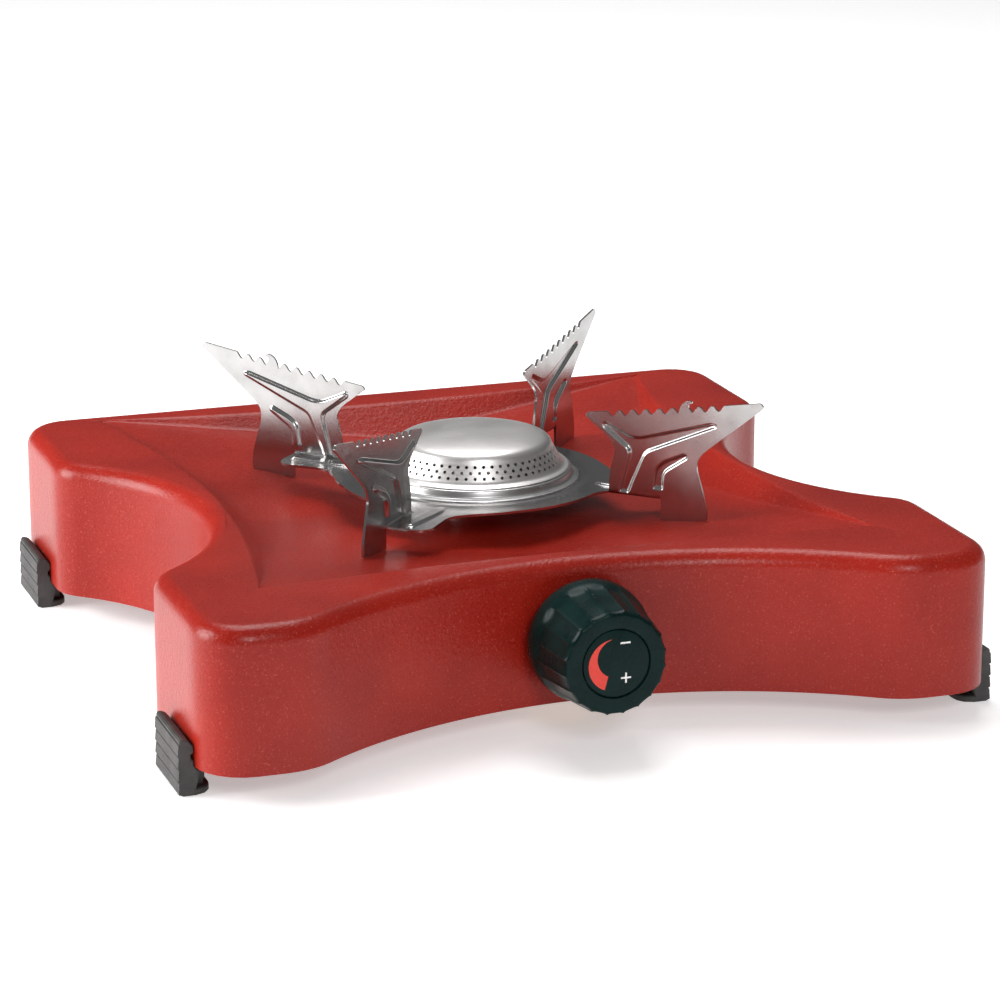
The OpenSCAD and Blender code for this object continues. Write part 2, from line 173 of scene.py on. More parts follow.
def turnedMetal(name, colour, polish, centre, pitch=0.5):
    paint = Paint(name)
    rings = paint.node("ShaderNodeTexWave", {"wave_type": "RINGS", "rings_direction": "Z"},
                       {"Vector": paint.moved(centre), "Scale": math.tau / 20 / (pitch * mm),
                        "Distortion": 0.4, "Detail": 2.0})
    smudge = paint.noise(12, 3)
    tint = paint.blend(paint.ramp(smudge, 0.35, 0.7), colour, tuple(c * 0.85 for c in colour))
    rough = paint.ramp(smudge, 0.3, 0.75, polish, polish + 0.1) + 0.06 * rings
    return paint.finish(Base_Color=tint, Metallic=1.0, Roughness=rough, Normal=paint.bump(rings, 0.01, 0.25))


def castMetal(name, colour, polish, grainSize=1.2):
    paint = Paint(name)
    grain = paint.noise(grainSize, 4)
    stain = paint.noise(11, 3)
    tint = paint.blend(paint.ramp(stain, 0.35, 0.72), colour, tuple(c * 0.7 for c in colour))
    return paint.finish(Base_Color=tint, Metallic=1.0, Normal=paint.bump(grain, 0.04, 0.4),
                        Roughness=paint.ramp(stain, 0.3, 0.7, polish, polish + 0.15))


def softRubber():
    paint = Paint("foot_rubber")
    grain = paint.noise(0.5, 3)
    dust = paint.noise(7, 4)
    colour = paint.blend(paint.ramp(dust, 0.4, 0.75), (0.030, 0.0285, 0.0275), (0.062, 0.058, 0.056))
    return paint.finish(Base_Color=colour, Roughness=paint.ramp(grain, 0.3, 0.7, 0.48, 0.68),
                        Normal=paint.bump(grain, 0.05, 0.5))


def knobPlastic(name="knob_plastic"):
    paint = Paint(name)
    grain = paint.noise(0.45, 2)
    wear = paint.noise(6, 3)
    colour = paint.blend(paint.ramp(wear, 0.4, 0.75), (0.0022, 0.0125, 0.0115), (0.0035, 0.019, 0.0175))
    return paint.finish(Base_Color=colour, Roughness=paint.ramp(wear, 0.3, 0.75, 0.24, 0.36),
                        Normal=paint.bump(grain, 0.015, 0.35), Specular_IOR_Level=0.10)


def printInk(name, colour):
    paint = Paint(name)
    speck = paint.noise(0.4, 3)
    tint = paint.blend(paint.ramp(speck, 0.45, 0.75), colour, tuple(c * 0.8 for c in colour))
    return paint.finish(Base_Color=tint, Roughness=paint.ramp(speck, 0.3, 0.7, 0.38, 0.5))


finishes = {
    "red_paint": redPaint(),
    "rubber": softRubber(),
    "stainless_sheet": sheetSteel("stainless_sheet", (0.50, 0.49, 0.485), 0.14),
    "stainless_cap": turnedMetal("stainless_cap", (0.72, 0.70, 0.69), 0.34, burnerAxis, 0.7),
    "aluminium": turnedMetal("spun_aluminium", (0.58, 0.575, 0.57), 0.24, burnerAxis, 0.6),
    "cast_zinc": castMetal("cast_zinc", (0.42, 0.42, 0.42), 0.42),
    "brass": castMetal("machined_brass", (0.72, 0.50, 0.20), 0.26, 0.5),
    "copper": castMetal("drawn_copper", (0.70, 0.31, 0.17), 0.28, 0.5),
    "zinc_plated": castMetal("zinc_plating", (0.62, 0.62, 0.66), 0.26, 0.6),
    "knob_plastic": knobPlastic(),
    "label_plastic": knobPlastic("label_plastic"),
    "mark_red": printInk("mark_red", (0.72, 0.035, 0.018)),
    "mark_white": printInk("mark_white", (0.85, 0.85, 0.83)),
}
print("materials:", len(finishes))


# meshes

def addPiece(name, points, faces, finish, origin=(0, 0, 0), turn=None, sharpAt=35):
    mesh = bpy.data.meshes.new(name)
    mesh.from_pydata([[c * mm for c in p] for p in points], [], faces)
    if turn:
        mesh.transform(turn)
    mesh.transform(Matrix.Translation(origin))
    piece = bpy.data.objects.new(name, mesh)
    bpy.context.scene.collection.objects.link(piece)
    mesh.materials.append(finishes[finish])
    closeUp(mesh, sharpAt)
    return piece


def closeUp(mesh, sharpAt):  # welds doubles, turns the faces outwards and marks the sharp edges
    work = bmesh.new()
    work.from_mesh(mesh)
    bmesh.ops.remove_doubles(work, verts=work.verts, dist=0.004 * mm)
    bmesh.ops.dissolve_degenerate(work, edges=work.edges, dist=0.0005 * mm)
    bmesh.ops.recalc_face_normals(work, faces=work.faces)
    work.to_mesh(mesh)
    work.free()
    mesh.shade_smooth()
    mesh.set_sharp_from_angle(angle=math.radians(sharpAt))


def settle(piece, sharpAt=35):  # replaces the mesh by what its modifiers make of it
    graph = bpy.context.evaluated_depsgraph_get()
    made = bpy.data.meshes.new_from_object(piece.evaluated_get(graph), depsgraph=graph)
    piece.modifiers.clear()
    piece.data = made
    closeUp(made, sharpAt)
    return piece


def discard(*pieces):
    for piece in pieces:
        bpy.data.objects.remove(piece)


# geometry node trees: a ring of equal sectors, and a row of equal bars

def newTree(name, inputs):
    tree = bpy.data.node_groups.new(name, "GeometryNodeTree")
    tree.interface.new_socket("Geometry", in_out="OUTPUT", socket_type="NodeSocketGeometry")
    for label, kind in inputs:
        tree.interface.new_socket(label, in_out="INPUT", socket_type=kind)
    return tree, tree.nodes.new("NodeGroupInput"), tree.nodes.new("NodeGroupOutput")


def treeNode(tree, kind, **links):
    made = tree.nodes.new(kind)
    for name, value in links.items():
        socket = made.inputs[name.replace("_", " ")]
        if isinstance(value, bpy.types.NodeSocket):
            tree.links.new(value, socket)
        else:
            socket.default_value = value
    return made


def closeTree(tree, points, cell, turn, weld, finish, output):
    spread = treeNode(tree, "GeometryNodeInstanceOnPoints", Points=points, Instance=cell)
    if turn:
        tree.links.new(turn, spread.inputs["Rotation"])
    solid = treeNode(tree, "GeometryNodeRealizeInstances", Geometry=spread.outputs[0])
    merged = treeNode(tree, "GeometryNodeMergeByDistance", Geometry=solid.outputs[0], Distance=weld)
    painted = treeNode(tree, "GeometryNodeSetMaterial", Geometry=merged.outputs[0], Material=finish)
    tree.links.new(painted.outputs[0], output.inputs[0])


def ringTree():  # Count copies of Cell about the Z axis
    tree, given, output = newTree("ring_of_sectors", [
        ("Cell", "NodeSocketObject"), ("Count", "NodeSocketInt"), ("Weld", "NodeSocketFloat"),
        ("Finish", "NodeSocketMaterial")])
    points = treeNode(tree, "GeometryNodePoints", Count=given.outputs["Count"])
    index = treeNode(tree, "GeometryNodeInputIndex")
    share = tree.nodes.new("ShaderNodeMath")
    share.operation = "DIVIDE"
    share.inputs[0].default_value = math.tau
    tree.links.new(given.outputs["Count"], share.inputs[1])
    angle = tree.nodes.new("ShaderNodeMath")
    angle.operation = "MULTIPLY"
    tree.links.new(index.outputs[0], angle.inputs[0])
    tree.links.new(share.outputs[0], angle.inputs[1])
    euler = treeNode(tree, "ShaderNodeCombineXYZ", Z=angle.outputs[0])
    turn = treeNode(tree, "FunctionNodeEulerToRotation", Euler=euler.outputs[0])
    cell = treeNode(tree, "GeometryNodeObjectInfo", Object=given.outputs["Cell"])
    closeTree(tree, points.outputs[0], cell.outputs["Geometry"], turn.outputs[0], given.outputs["Weld"],
              given.outputs["Finish"], output)
    return tree


def rowTree():  # Count copies of Cell, each one Step away from the last
    tree, given, output = newTree("row_of_bars", [
        ("Cell", "NodeSocketObject"), ("Count", "NodeSocketInt"), ("Step", "NodeSocketVector"),
        ("Weld", "NodeSocketFloat"), ("Finish", "NodeSocketMaterial")])
    points = treeNode(tree, "GeometryNodeMeshLine", Count=given.outputs["Count"],
                      Offset=given.outputs["Step"])
    cell = treeNode(tree, "GeometryNodeObjectInfo", Object=given.outputs["Cell"])
    closeTree(tree, points.outputs[0], cell.outputs["Geometry"], None, given.outputs["Weld"],
              given.outputs["Finish"], output)
    return tree


def grow(name, tree, values, turn=None, origin=(0, 0, 0), sharpAt=35):
    piece = bpy.data.objects.new(name, bpy.data.meshes.new(name))
    bpy.context.scene.collection.objects.link(piece)
    nodes = piece.modifiers.new("grow", "NODES")
    nodes.node_group = tree
    keys = {item.name: item.identifier for item in tree.interface.items_tree if item.in_out == "INPUT"}
    for label, value in values.items():
        nodes[keys[label]] = value
    settle(piece, sharpAt)
    discard(values["Cell"])
    if turn:
        piece.data.transform(turn)
    piece.data.transform(Matrix.Translation(origin))
    return piece


ringOf = ringTree()
rowOf = rowTree()


def around(radius, height, degrees):
    angle = math.radians(degrees)
    return (radius * math.cos(angle), radius * math.sin(angle), height)


def latheSector(name, profile, degrees, steps, finish, pull=None):  # a wedge of a closed profile [r, z]
    points, faces = [], []
    for r, z in profile:
        for k in range(steps + 1):
            t = k / steps
            points.append(around(pull(r, z, t) if pull else r, z, degrees * (t - 0.5)))
    row = steps + 1
    count = len(profile)
    closed = profile[0][0] > 0 or profile[-1][0] > 0
    for i in range(count if closed else count - 1):
        a, b = i * row, (i + 1) % count * row
        for k in range(steps):
            face = [a + k, b + k, b + k + 1, a + k + 1]
            faces.append(face)
    return addSector(name, points, faces, finish)


def addSector(name, points, faces, finish):  # left open at its two sides, so its normals wait for the ring
    mesh = bpy.data.meshes.new(name)
    mesh.from_pydata([[c * mm for c in p] for p in points], [], faces)
    mesh.materials.append(finishes[finish])
    work = bmesh.new()
    work.from_mesh(mesh)
    bmesh.ops.remove_doubles(work, verts=work.verts, dist=0.004 * mm)
    work.to_mesh(mesh)
    work.free()
    piece = bpy.data.objects.new(name, mesh)
    bpy.context.scene.collection.objects.link(piece)
    return piece


def show(piece, body, slot, *nodes):
    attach(piece, body)
    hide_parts(*nodes)
    print(piece.name, "-", len(piece.data.polygons), "faces")
    return piece


# housing: rings from the wall's bottom edge, over the rounded edge and down into the dish

housing = {
    "halfWidth": 120.5, "armFront": 121.5, "rearEdge": 118.0, "frontMiddle": 88.5, "waist": 88.0,
    "frontRadius": 155.0, "sideRadius": 83.0, "edgeRadius": 5.5, "cornerRadius": 10.0, "lipRadius": 8.0,
    "blendRadius": 20.0, "sheet": 1.2, "bottom": 9.0, "bendSteps": 10, "outlineStep": 2.6,
    "tipX": 99.5, "tipFront": 90.0, "tipRear": 114.5, "dishDepth": 11.0, "leastFall": 0.5, "ramp": 0.1,
    "wallRun": 1.1, "sideBow": 13.0, "frontBow": 6.0, "rearBow": 8.5, "fillet": 1.6,
    "floorRings": [0.95, 0.9, 0.82, 0.74, 0.66, 0.58, 0.5, 0.42, 0.34, 0.26], "neckHole": 9.7,
}
dishMiddle = (housing["tipRear"] - housing["tipFront"]) / 2
dishHalf = (housing["tipRear"] + housing["tipFront"]) / 2
topZ = rimPlane / mm


def arcPoints(centre, radius, start, end, side, inward=False):
    steps = max(2, round(abs(math.radians(end - start)) * radius / housing["outlineStep"]))
    found = []
    for k in range(steps):
        degrees = start + (end - start) * k / steps
        x, y, _ = around(radius, 0, degrees)
        found.append((centre[0] + x, centre[1] + y, degrees + (180 if inward else 0), side))
    return found


def linePoints(start, end, bearing, side):
    steps = max(1, round(math.dist(start, end) / (2 * housing["outlineStep"])))
    spots = [[a + (b - a) * k / steps for a, b in zip(start, end)] for k in range(steps)]
    return [(x, y, bearing, side) for x, y in spots]


def housingOutline():
    h = housing
    frontCentre = (0, -h["frontMiddle"] - h["frontRadius"])
    blendY = h["blendRadius"] - h["armFront"]
    reach = h["frontRadius"] + h["blendRadius"]
    blendCentre = (math.sqrt(reach ** 2 - (blendY - frontCentre[1]) ** 2), blendY)
    blendAngle = math.degrees(math.atan2(blendY - frontCentre[1], blendCentre[0]))
    sideCentre = (h["waist"] + h["sideRadius"], 0)
    lipX = h["halfWidth"] - h["lipRadius"]
    lipY = math.sqrt((h["sideRadius"] + h["lipRadius"]) ** 2 - (sideCentre[0] - lipX) ** 2)
    lipAngle = math.degrees(math.atan2(lipY, sideCentre[0] - lipX))
    cornerX = h["halfWidth"] - h["cornerRadius"]
    frontCorner = (cornerX, h["cornerRadius"] - h["armFront"])
    rearCorner = (cornerX, h["rearEdge"] - h["cornerRadius"])
    right = arcPoints(frontCentre, h["frontRadius"], 90, blendAngle, "y", True)
    right += arcPoints(blendCentre, h["blendRadius"], blendAngle - 180, -90, "y")
    right += linePoints((blendCentre[0], -h["armFront"]), (cornerX, -h["armFront"]), -90, "y")
    right += arcPoints(frontCorner, h["cornerRadius"], -90, -45, "y")
    right += arcPoints(frontCorner, h["cornerRadius"], -45, 0, "x")
    right += linePoints((h["halfWidth"], frontCorner[1]), (h["halfWidth"], -lipY), 0, "x")
    right += arcPoints((lipX, -lipY), h["lipRadius"], 0, lipAngle, "x")
    right += arcPoints(sideCentre, h["sideRadius"], 180 + lipAngle, 180 - lipAngle, "x", True)
    right += arcPoints((lipX, lipY), h["lipRadius"], -lipAngle, 0, "x")
    right += linePoints((h["halfWidth"], lipY), (h["halfWidth"], rearCorner[1]), 0, "x")
    right += arcPoints(rearCorner, h["cornerRadius"], 0, 45, "x")
    right += arcPoints(rearCorner, h["cornerRadius"], 45, 90, "y")
    right += linePoints((cornerX, h["rearEdge"]), (0, h["rearEdge"]), 90, "y")
    left = [(-x, y, 180 - bearing, side) for x, y, bearing, side in reversed(right[1:])]
    return right + [(0, h["rearEdge"], 90, "y")] + left


def dishFall(x, y):  # how far the floor lies below the rim, with a soft change to the flat middle
    h = housing
    away = math.hypot(h["tipX"] - abs(x), dishHalf - abs(y - dishMiddle))
    slope = max(h["leastFall"], h["ramp"] * away)
    soft = 1.2
    gap = max(0.0, soft - abs(slope - h["dishDepth"])) / soft
    return min(slope, h["dishDepth"]) - gap * gap * soft / 4


def bow(t, depth):
    return depth * (1 - t * t)


def dishEdge(x, y, side):
    h = housing
    lost = h["cornerRadius"] * (1 - math.sqrt(0.5))
    if side == "x":
        halfRun = (h["rearEdge"] + h["armFront"]) / 2 - lost
        t = max(-1, min(1, (y - (h["rearEdge"] - h["armFront"]) / 2) / halfRun))
        return math.copysign(h["tipX"] - bow(t, h["sideBow"]), x), dishMiddle + t * dishHalf
    t = max(-1, min(1, x / (h["halfWidth"] - lost)))
    edgeY = h["tipRear"] - bow(t, h["rearBow"]) if y > 0 else bow(t, h["frontBow"]) - h["tipFront"]
    return t * h["tipX"], edgeY


def dishFoot(ex, ey, side):
    h = housing
    run = h["wallRun"] * dishFall(ex, ey)
    along = max(-1, min(1, (ey - dishMiddle) / dishHalf))
    across = max(-1, min(1, ex / h["tipX"]))
    sideLimit = h["tipX"] - bow(along, h["sideBow"]) - run
    rearLimit = h["tipRear"] - bow(across, h["rearBow"]) - run
    frontLimit = h["tipFront"] - bow(across, h["frontBow"]) - run
    if side == "x":
        return math.copysign(sideLimit, ex), max(-frontLimit, min(rearLimit, ey))
    return max(-sideLimit, min(sideLimit, ex)), (rearLimit if ey > 0 else -frontLimit)


def bezier(a, b, c, t):
    return a * (1 - t) ** 2 + 2 * b * t * (1 - t) + c * t * t


def housingRings(outline, inset):
    h = housing
    radius = h["edgeRadius"] - inset
    rings = [[(x, y, bearing, radius, z) for x, y, bearing, _ in outline]
             for z in (h["bottom"], h["bottom"] + 0.8, topZ - h["edgeRadius"])]
    for k in range(1, h["bendSteps"] + 1):
        angle = math.radians(90 * k / h["bendSteps"])
        out, up = radius * math.cos(angle), topZ - h["edgeRadius"] + radius * math.sin(angle)
        rings.append([(x, y, bearing, out, up) for x, y, bearing, _ in outline])
    solid = [[Vector((*around(r, z, b)[:2], z)) + Vector((x, y, 0)) for x, y, b, r, z in ring]
             for ring in rings]
    lines = []
    for x, y, _, side in outline:
        ex, ey = dishEdge(x, y, side)
        fx, fy = dishFoot(ex, ey, side)
        rim, edge = Vector((x, y, topZ)), Vector((ex, ey, topZ))
        foot = Vector((fx, fy, topZ - dishFall(fx, fy)))
        inner = Vector((fx * 0.95, dishMiddle + (fy - dishMiddle) * 0.95, 0))
        inner.z = topZ - dishFall(inner.x, inner.y)
        wall = foot - edge
        soft = min(h["fillet"], 0.4 * wall.length)
        outer = edge + (rim - edge).normalized() * soft
        low = foot + (inner - foot).normalized() * soft
        line = [rim.lerp(edge, 0.5)]
        line += [bezier(outer, edge, edge + wall.normalized() * soft, t) for t in (0, 0.33, 0.67, 1)]
        line += [bezier(foot - wall.normalized() * soft, foot, low, t) for t in (0, 0.33, 0.67, 1)]
        for t in h["floorRings"]:
            p = Vector((fx * t, dishMiddle + (fy - dishMiddle) * t, 0))
            p.z = topZ - dishFall(p.x, p.y)
            line.append(p)
        hole = math.degrees(math.atan2(fy - dishMiddle, fx))
        px, py, _ = around(h["neckHole"], 0, hole)
        line.append(Vector((px, py + burnerBehindArcs, topZ - h["dishDepth"])))
        lines.append([p - Vector((0, 0, inset)) for p in line])
    return solid + [list(ring) for ring in zip(*lines)]


def buildHousing():
    outline = housingOutline()
    outer, inner = housingRings(outline, 0), housingRings(outline, housing["sheet"])
    count, depth = len(outline), len(outer)
    points = [p for ring in outer + inner for p in ring]
    faces = []
    for i in range(count):
        j = (i + 1) % count
        for r in range(depth - 1):
            a, b = r * count, (r + 1) * count
            faces.append([a + i, a + j, b + j, b + i])
            within = (depth + r) * count
            faces.append([within + j, within + i, within + count + i, within + count + j])
        last = (depth - 1) * count
        faces.append([j, i, depth * count + i, depth * count + j])
        faces.append([last + i, last + j, depth * count + last + j, depth * count + last + i])
    piece = addPiece("housing_shell", points, faces, "red_paint", stoveOrigin, sharpAt=40)
    cutters = [drill("tap_hole", tapHole, 9.2, 12), drill("inlet_hole", inletHole, 8.2, 12)]
    for cutter in cutters:
        cut = piece.modifiers.new("cut", "BOOLEAN")
        cut.operation = "DIFFERENCE"
        cut.object = cutter
    settle(piece, 40)
    discard(*cutters)
    return piece


def drill(name, centre, radius, length):  # a rod along Y
    mesh = bpy.data.meshes.new(name)
    work = bmesh.new()
    bmesh.ops.create_cone(work, cap_ends=True, segments=48, radius1=radius * mm, radius2=radius * mm,
                          depth=length * mm)
    work.to_mesh(mesh)
    work.free()
    mesh.transform(Matrix.Translation(centre) @ Matrix.Rotation(math.radians(90), 4, "X"))
    piece = bpy.data.objects.new(name, mesh)
    bpy.context.scene.collection.objects.link(piece)
    return piece


show(buildHousing(), "base", "red_paint", "housing")


# burner cap: sixty sectors, each with one hole of every row

cap = {
    "sectors": 60, "holeRadius": 0.56, "sheet": 0.7, "weld": 0.01,
    "crown": [(0, 16.15), (5, 16.08), (10, 15.85), (15, 15.4), (19, 14.8), (21.8, 14.2), (23.4, 13.7),
              (24.4, 13.15), (25.0, 12.5), (25.35, 11.8)],
    "flank": [(25.65, 10.95), (26.6, 9.25), (27.5, 7.55), (28.4, 5.85)],
    "lip": [(28.8, 5.2), (29.4, 4.75), (30.2, 4.55), (30.85, 4.45), (31.1, 4.25), (31.05, 4.0), (30.6, 3.9),
            (29.2, 4.0), (28.3, 4.6)],
    "under": [(24.6, 11.7), (23.9, 12.5), (22.9, 13.1), (21.4, 13.55), (18.8, 14.1), (15, 14.65), (10, 15.1),
              (5, 15.35), (0, 15.4)],
}


def capSector():
    wedge = math.tau / cap["sectors"]
    (r0, z0), (r1, z1) = cap["flank"][0], cap["flank"][-1]
    slant = math.hypot(r1 - r0, z1 - z0)
    out = ((z0 - z1) / slant * cap["sheet"], (r1 - r0) / slant * cap["sheet"])
    inside = [(r - out[0], z - out[1]) for r, z in cap["flank"]]
    points, faces = [], []

    def spot(r, z, turn):
        points.append((r * math.cos(turn * wedge), r * math.sin(turn * wedge), z))
        return len(points) - 1

    def strip(profile):
        rows = [[spot(r, z, t) for t in (-0.5, 0, 0.5)] for r, z in profile]
        for a, b in zip(rows, rows[1:]):
            faces.extend([[a[k], b[k], b[k + 1], a[k + 1]] for k in range(2)])

    def tile(upper, lower, side):  # a square of the flank around one hole, returns the hole's edge
        middle = ((upper[0] + lower[0]) / 2, (upper[1] + lower[1]) / 2)
        frameSpots = [spot(*lower, side - 0.5), spot(*lower, side), spot(*lower, side + 0.5),
                      spot(*middle, side + 0.5), spot(*upper, side + 0.5), spot(*upper, side),
                      spot(*upper, side - 0.5), spot(*middle, side - 0.5)]
        rise = [(b - a) / math.dist(upper, lower) for a, b in zip(lower, upper)]
        edge = []
        for k in range(8):
            angle = math.radians(225 + 45 * k)
            across = cap["holeRadius"] * math.cos(angle) / middle[0] / wedge
            along = cap["holeRadius"] * math.sin(angle)
            edge.append(spot(middle[0] + rise[0] * along, middle[1] + rise[1] * along, side + across))
        for k in range(8):
            j = (k + 1) % 8
            faces.append([frameSpots[k], frameSpots[j], edge[j], edge[k]])
        return edge

    strip(cap["crown"] + cap["flank"][:1])
    strip(cap["flank"][-1:] + cap["lip"] + inside[-1:])
    strip(inside[:1] + cap["under"])
    for k in range(3):
        side = 0.5 * (k % 2)
        skins = [tile(flank[k], flank[k + 1], side) for flank in (cap["flank"], inside)]
        for i in range(8):
            j = (i + 1) % 8
            faces.append([skins[0][i], skins[0][j], skins[1][j], skins[1][i]])
    return addSector("cap_sector", points, faces, "stainless_cap")


burnerCap = grow("burner_cap_pressing", ringOf, {
    "Cell": capSector(), "Count": cap["sectors"], "Weld": cap["weld"] * mm,
    "Finish": finishes["stainless_cap"]},
    origin=burnerAxis, sharpAt=50)
show(burnerCap, "base", "stainless_cap", "burner_cap")

bowl = {
    "sectors": 96, "weld": 0.005,
    "profile": [(33.9, 0.55), (34.25, 0.7), (34.2, 1.0), (33.6, 1.2), (32.7, 1.3), (32.2, 1.55), (32.0, 2.0),
                (31.95, 3.3), (31.7, 3.7), (31.2, 3.9), (30.6, 3.8), (30.3, 3.4), (30.2, 2.2), (29.8, 1.5),
                (28.8, 1.35), (24.2, 0.9), (23.6, 0.3), (22.9, -3.6), (22.3, -4.2), (8.6, -6.1), (7.95, -6.8),
                (7.95, -18), (9.5, -18), (9.5, -7.9), (10.2, -7.2), (23.2, -5.3), (24, -4.7), (24.8, 0.1),
                (25.4, 0.5)],
}
burnerBowl = grow("burner_bowl_spinning", ringOf, {
    "Cell": latheSector("bowl_sector", bowl["profile"], 360 / bowl["sectors"], 1, "aluminium"),
    "Count": bowl["sectors"], "Weld": bowl["weld"] * mm, "Finish": finishes["aluminium"]},
    origin=burnerAxis, sharpAt=50)
show(burnerBowl, "base", "aluminium", "burner_bowl")


# flat patterns: an outline filled with small triangles, pressed and given its thickness

def edgeDistance(points, outline):  # distance to a closed outline, negative inside it
    points, start = np.asarray(points, float), np.asarray(outline, float)
    run = np.roll(start, -1, axis=0) - start
    away = points[:, None, :] - start[None]
    share = np.clip((away * run).sum(2) / np.maximum((run * run).sum(1), 1e-12), 0, 1)
    near = np.linalg.norm(away - share[..., None] * run, axis=2).min(1)
    x, y = points[:, 0, None], points[:, 1, None]
    spans = (start[:, 1] > y) != ((start + run)[:, 1] > y)
    crossing = start[:, 0] + (y - start[:, 1]) * run[:, 0] / np.where(run[:, 1] == 0, 1, run[:, 1])
    inside = (spans & (x < crossing)).sum(1) % 2 == 1
    return np.where(inside, -near, near)


def softCorners(outline):  # corners are (x, y, radius); a radius of 0 stays sharp
    loop = []
    for k, (x, y, radius) in enumerate(outline):
        here = np.array((x, y), float)
        back = np.array(outline[k - 1][:2], float) - here
        ahead = np.array(outline[(k + 1) % len(outline)][:2], float) - here
        cut = min(radius, 0.48 * np.linalg.norm(back), 0.48 * np.linalg.norm(ahead))
        if cut <= 0:
            loop.append(tuple(here))
            continue
        a, b = here + back / np.linalg.norm(back) * cut, here + ahead / np.linalg.norm(ahead) * cut
        loop.extend(tuple(bezier(a, here, b, t)) for t in (0, 0.25, 0.5, 0.75, 1))
    return loop


def divided(loop, step):
    found = []
    for a, b in zip(loop, loop[1:] + loop[:1]):
        parts = max(1, round(math.dist(a, b) / step))
        found.extend(tuple(p + (q - p) * k / parts for p, q in zip(a, b)) for k in range(parts))
    return found


def contourSpots(outlines, offsets, step):  # points that follow each outline at a few offsets
    found = []
    for outline in outlines:
        loop = np.array(divided(outline, step))
        ahead = np.roll(loop, -1, axis=0) - np.roll(loop, 1, axis=0)
        out = np.column_stack([ahead[:, 1], -ahead[:, 0]]) / np.linalg.norm(ahead, axis=1)[:, None]
        x, y = loop.T
        turn = np.sign((x * np.roll(y, -1) - np.roll(x, -1) * y).sum())
        for offset in offsets:
            spots = loop + out * turn * offset
            field = np.min([edgeDistance(spots, other) for other in outlines], axis=0)
            found.append(spots[np.abs(field - offset) < 0.06])
    return np.vstack(found)


def pressedSheet(outline, holes, step, thickness, spots, relief, place):
    loops = [divided(loop, step * 0.8) for loop in [outline] + holes]
    flat = [p for loop in loops for p in loop]
    edges, start = [], 0
    for loop in loops:
        edges += [(start + i, start + (i + 1) % len(loop)) for i in range(len(loop))]
        start += len(loop)

    def field(points):
        away = [edgeDistance(points, loops[0])] + [-edgeDistance(points, loop) for loop in loops[1:]]
        return np.max(away, axis=0)

    low, high = np.min(flat, axis=0), np.max(flat, axis=0)
    columns, rows = np.meshgrid(np.arange(low[0], high[0], step), np.arange(low[1], high[1], step))
    grid = np.column_stack([columns.ravel(), rows.ravel()])
    spots = spots[field(spots) < -0.2]
    grid = grid[field(grid) < -0.5 * step]
    clear = [np.hypot(*(spots - point).T).min() > 0.6 * step for point in grid]
    grid = grid[np.array(clear)]
    points = [Vector(p) for p in flat] + [Vector(p) for p in spots] + [Vector(p) for p in grid]
    found, _, triangles, _, _, _ = delaunay_2d_cdt(points, edges, [], 0, 1e-5)
    found = np.array([tuple(p) for p in found])
    corners = np.array([list(t) for t in triangles])
    corners = corners[field(found[corners].mean(1)) < 0]
    lift = relief(found)
    count = len(found)
    solid = [place(u, v, w + side * thickness / 2) for side in (1, -1) for (u, v), w in zip(found, lift)]
    faces = [list(t) for t in corners] + [[count + k for k in reversed(t)] for t in corners]
    sides = {}
    for t in corners:
        for a, b in ((t[0], t[1]), (t[1], t[2]), (t[2], t[0])):
            if (b, a) in sides:
                del sides[(b, a)]
            else:
                sides[(a, b)] = True
    faces += [[b, a, count + a, count + b] for a, b in sides]
    return solid, faces


def raised(points, outlines, slope):  # pressed areas: 0 outside, 1 inside, with sloping edges
    field = np.min([edgeDistance(points, outline) for outline in outlines], axis=0)
    share = np.clip(-field / slope, 0, 1)
    return share * share * (3 - 2 * share)


support = {
    "firstWing": -43.6, "sheet": 0.8, "plateTop": 0.5, "plateRadius": 44.5, "opening": 25, "bend": 1.3,
    "foldIn": 48, "foldOut": 65.6, "step": 1.0,
    "beadDepth": 1.0, "loopDepth": 0.7, "slope": 1.0,
    "toothFrom": 48.9, "toothPitch": 4.55, "teeth": 9, "toothDepth": 2.0,
    "hookBefore": 6, "hookedWings": (0, 2),
    "tipRadius": 100.5, "innerRadius": 39.5, "topLow": 26.1, "topRise": 9.2,
    "legIn": 66, "legOut": 81.8, "legGap": 0.25, "tabWidth": 9, "tabDrop": 6.6,
    "contours": (0.25, 0, -0.25, -0.5, -0.75, -1.0, -1.3), "contourStep": 0.7, "foldRows": 6,
}
plateMiddle = support["plateTop"] - support["sheet"] / 2


def topEdge(u):
    s = support
    return s["topLow"] + s["topRise"] * (u - s["innerRadius"]) / (s["tipRadius"] - s["innerRadius"])


def serrations(hooked):  # a wavy top edge, with a hook in place of one tooth
    s = support
    hook = [(-2.0, -1.4), (-1.5, -0.1), (-0.7, 0.9), (0.4, 1.6), (1.6, 1.85), (2.3, 1.6), (2.3, 1.1),
            (1.6, 0.8), (1.1, 0.3), (1.1, -0.4), (1.7, -1.1), (2.1, -1.6)]
    edge = []
    for k in range(s["teeth"]):
        u = s["toothFrom"] + k * s["toothPitch"]
        if hooked and k == s["hookBefore"]:
            edge += [(u - s["toothPitch"] / 2 + a, topEdge(u) + b) for a, b in hook]
        for part in range(1, 12):
            if hooked and (k == s["hookBefore"] and part < 6 or k == s["hookBefore"] - 1 and part > 6):
                continue
            fall = 0.5 - 0.5 * math.cos(math.tau * part / 12)
            at = u + (part / 12 - 0.5) * s["toothPitch"]
            edge.append((at, topEdge(at) - s["toothDepth"] * fall))
    return edge


